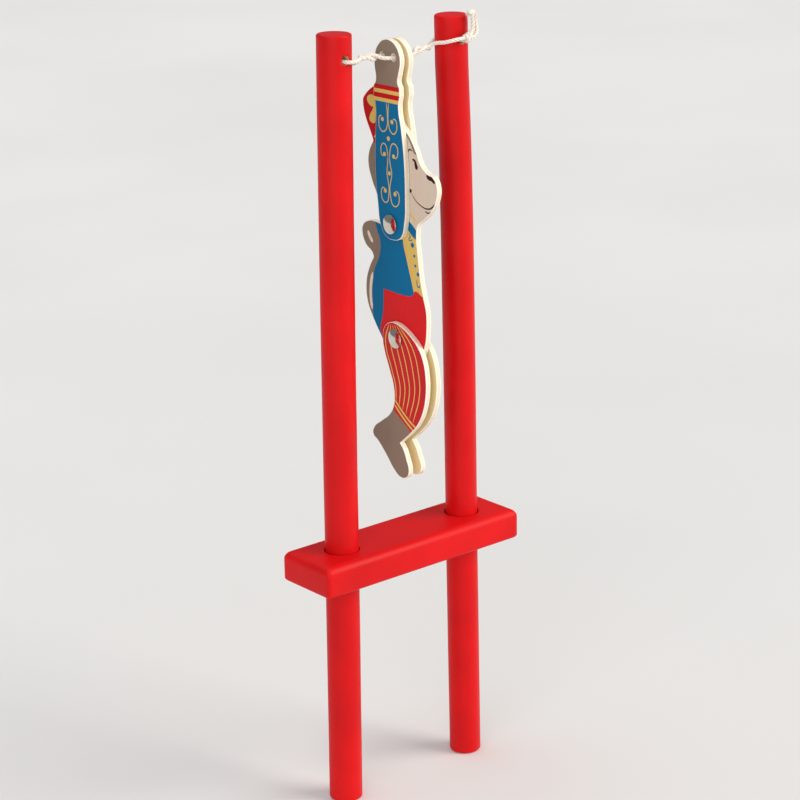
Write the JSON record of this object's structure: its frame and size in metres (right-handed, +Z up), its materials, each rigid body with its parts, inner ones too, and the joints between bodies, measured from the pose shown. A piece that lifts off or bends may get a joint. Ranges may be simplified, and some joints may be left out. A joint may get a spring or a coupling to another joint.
{
  "type": "squeeze acrobat toy",
  "caption": "Hand-held squeeze toy: round poles through a crossbar hold a twisted string on which a flat jointed monkey figure turns over when the poles are pinched.",
  "frame": {"origin": "centre of the crossbar's underside", "axes": "+X from the left pole to the right pole, -Y toward the side that the figure faces, +Z up along the poles"},
  "size_m": [0.097, 0.0439, 0.3042],
  "materials": {
    "red_paint": "gloss red paint on turned beech",
    "printed_ply": "printed and varnished thin plywood with bare edges",
    "nickel": "polished nickel plate",
    "steel_wire": "bright drawn wire",
    "cotton_string": "plain twisted cotton"
  },
  "bodies": {
    "frame": {"crossbar": "red_paint", "left_pivot_pin": "steel_wire", "right_pivot_pin": "steel_wire", "string_loop": "cotton_string"},
    "left_pole": {"left_pole": "red_paint"},
    "right_pole": {"right_pole": "red_paint", "string_knot": "cotton_string", "string_tail_a": "cotton_string", "string_tail_b": "cotton_string"},
    "arms": {"near_arm": "printed_ply", "far_arm": "printed_ply", "shoulder_rivet_post": "nickel", "shoulder_rivet_cap": "nickel"},
    "torso": {"torso": "printed_ply", "hip_rivet_post": "nickel", "hip_rivet_cap": "nickel"},
    "near_leg": {"near_leg": "printed_ply"},
    "far_leg": {"far_leg": "printed_ply"}
  },
  "joints": [
    {"name": "left_pole_squeeze", "type": "hinge", "parent": "frame", "child": "left_pole", "pos_m": [-0.0305, 0, 0.006], "axis": [0, -1, 0], "range_deg": [0, 1.2], "stiffness_Nm_per_rad": 2, "deforming": ["string_loop"]},
    {"name": "right_pole_squeeze", "type": "hinge", "parent": "frame", "child": "right_pole", "pos_m": [0.0305, 0, 0.006], "axis": [0, 1, 0], "range_deg": [0, 1.2], "stiffness_Nm_per_rad": 2, "deforming": ["string_loop"]},
    {"name": "string_spin", "type": "hinge", "parent": "frame", "child": "arms", "pos_m": [0, 0, 0.19719], "axis": [1, 0, 0], "continuous": true, "deforming": ["string_loop"]},
    {"name": "shoulder_swing", "type": "hinge", "parent": "arms", "child": "torso", "pos_m": [0, 0, 0.13449], "axis": [1, 0, 0], "range_deg": [-90, 90]},
    {"name": "near_hip_swing", "type": "hinge", "parent": "torso", "child": "near_leg", "pos_m": [0, -0.0018, 0.09049], "axis": [1, 0, 0], "range_deg": [-90, 90]},
    {"name": "far_hip_swing", "type": "hinge", "parent": "torso", "child": "far_leg", "pos_m": [0, -0.0018, 0.09049], "axis": [1, 0, 0], "range_deg": [-90, 90]}
  ],
  "couplings": [
    {"joint": "right_pole_squeeze", "follows": "left_pole_squeeze", "ratio": 1}
  ]
}
